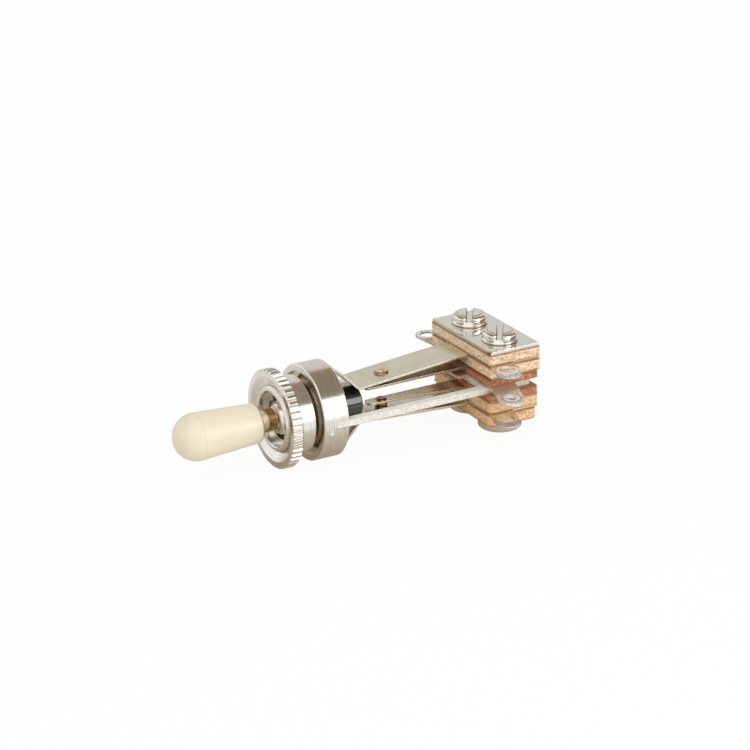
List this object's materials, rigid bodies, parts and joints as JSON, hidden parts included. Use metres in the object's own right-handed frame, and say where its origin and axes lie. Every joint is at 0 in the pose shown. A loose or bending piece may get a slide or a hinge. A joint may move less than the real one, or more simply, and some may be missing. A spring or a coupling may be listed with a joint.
{
  "type": "panel selector switch",
  "caption": "Open-frame lever selector switch with a cream cap, a serrated dress nut on its bushing and a clamped stack of leaf contacts.",
  "frame": {"origin": "centre of the panel seat, the front rim of the disc, on the bushing axis", "axes": "X along the bushing axis, the lever points to -X and the leaf stack is at +X; Z along the clamp screws, their heads up; Y across"},
  "size_m": [0.0679, 0.0348, 0.0187],
  "materials": {
    "plated_bushing": "nickel plated, turned",
    "plated_nut": "nickel plated, turned",
    "pin_steel": "ground",
    "lever_steel": "nickel plated",
    "cream_cap": "glossy moulded",
    "black_cam": "glossy turned",
    "frame_steel": "matte plated, mottled",
    "tinned_lug": "tinned",
    "leaf_alloy": "fine lengthwise grain",
    "contact_copper": "dull copper",
    "bright_plate": "bright plated",
    "tan_board": "speckled paper laminate",
    "red_board": "paper laminate",
    "bright_screw": "bright plated",
    "round_nut_steel": "plated, dull",
    "sleeve_plastic": "plain"
  },
  "bodies": {
    "switch_body": {"bushing_body": "plated_bushing", "dress_nut": "plated_nut", "frame_plate": "frame_steel", "ground_lug": "tinned_lug", "upper_outer_leaf": "leaf_alloy", "lower_outer_leaf": "leaf_alloy", "upper_inner_leaf": "leaf_alloy", "lower_inner_leaf": "leaf_alloy", "upper_inner_contact": "contact_copper", "lower_inner_contact": "contact_copper", "top_clamp_plate": "bright_plate", "top_insulator": "tan_board", "upper_spacer": "tan_board", "upper_red_spacer": "red_board", "lower_red_spacer": "red_board", "lower_spacer": "tan_board", "bottom_insulator": "tan_board", "clamp_screws": "bright_screw", "clamp_nuts": "round_nut_steel", "screw_sleeves": "sleeve_plastic"},
    "pivot": {"pivot_pin": "pin_steel"},
    "lever": {"lever_shaft": "lever_steel", "lever_cap": "cream_cap", "lever_cam": "black_cam"},
    "upper_contact": {"upper_outer_contact": "contact_copper"},
    "lower_contact": {"lower_outer_contact": "contact_copper"}
  },
  "joints": [
    {"name": "cam_up", "type": "hinge", "parent": "switch_body", "child": "pivot", "pos_m": [-0.0029, 0, 0], "axis": [0, -1, 0], "range_deg": [0, 12]},
    {"name": "cam_down", "type": "hinge", "parent": "pivot", "child": "lever", "pos_m": [-0.0029, 0, 0], "axis": [0, -1, 0], "range_deg": [-12, 0]},
    {"name": "upper_leaf_lift", "type": "hinge", "parent": "switch_body", "child": "upper_contact", "pos_m": [0.031, 0, 0.00495], "axis": [0, 1, 0], "range_deg": [0, 7], "deforming": ["upper_outer_leaf"]},
    {"name": "lower_leaf_lift", "type": "hinge", "parent": "switch_body", "child": "lower_contact", "pos_m": [0.031, 0, -0.0044], "axis": [0, 1, 0], "range_deg": [-7, 0], "deforming": ["lower_outer_leaf"]}
  ],
  "couplings": [
    {"joint": "upper_leaf_lift", "follows": "cam_up", "ratio": 0.57},
    {"joint": "lower_leaf_lift", "follows": "cam_down", "ratio": 0.57}
  ]
}
